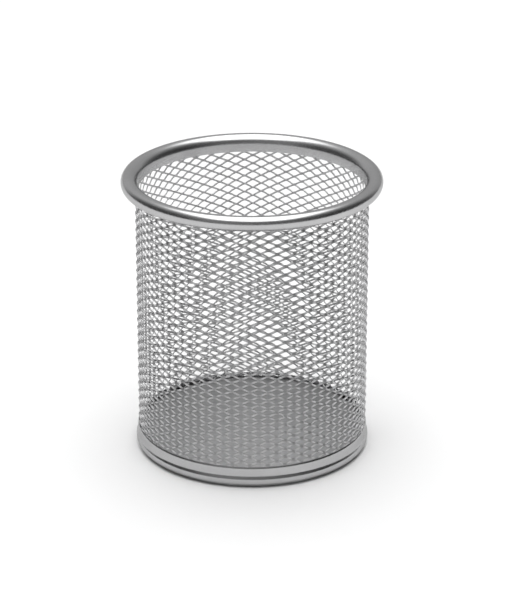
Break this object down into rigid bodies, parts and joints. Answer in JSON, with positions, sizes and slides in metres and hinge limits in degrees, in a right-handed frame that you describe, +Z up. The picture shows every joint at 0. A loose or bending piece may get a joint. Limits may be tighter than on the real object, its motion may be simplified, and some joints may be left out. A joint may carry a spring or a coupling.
{
  "type": "pen holder cup",
  "caption": "Round pen holder: an open tube of silver expanded steel mesh with a rolled bead round its mouth, a solid floor and a rolled foot ring.",
  "frame": {"origin": "centre of the foot, on the surface the cup stands on", "axes": "+Z up along the cup's axis, out of its mouth"},
  "size_m": [0.09, 0.09, 0.1],
  "materials": {
    "mesh": "silver paint, satin",
    "rim": "silver paint, smooth satin",
    "plate": "silver paint, satin",
    "ring": "silver paint, smooth satin"
  },
  "bodies": {
    "root": {"mesh_wall": "mesh", "top_rim": "rim", "base_plate": "plate", "base_ring": "ring"}
  },
  "joints": []
}
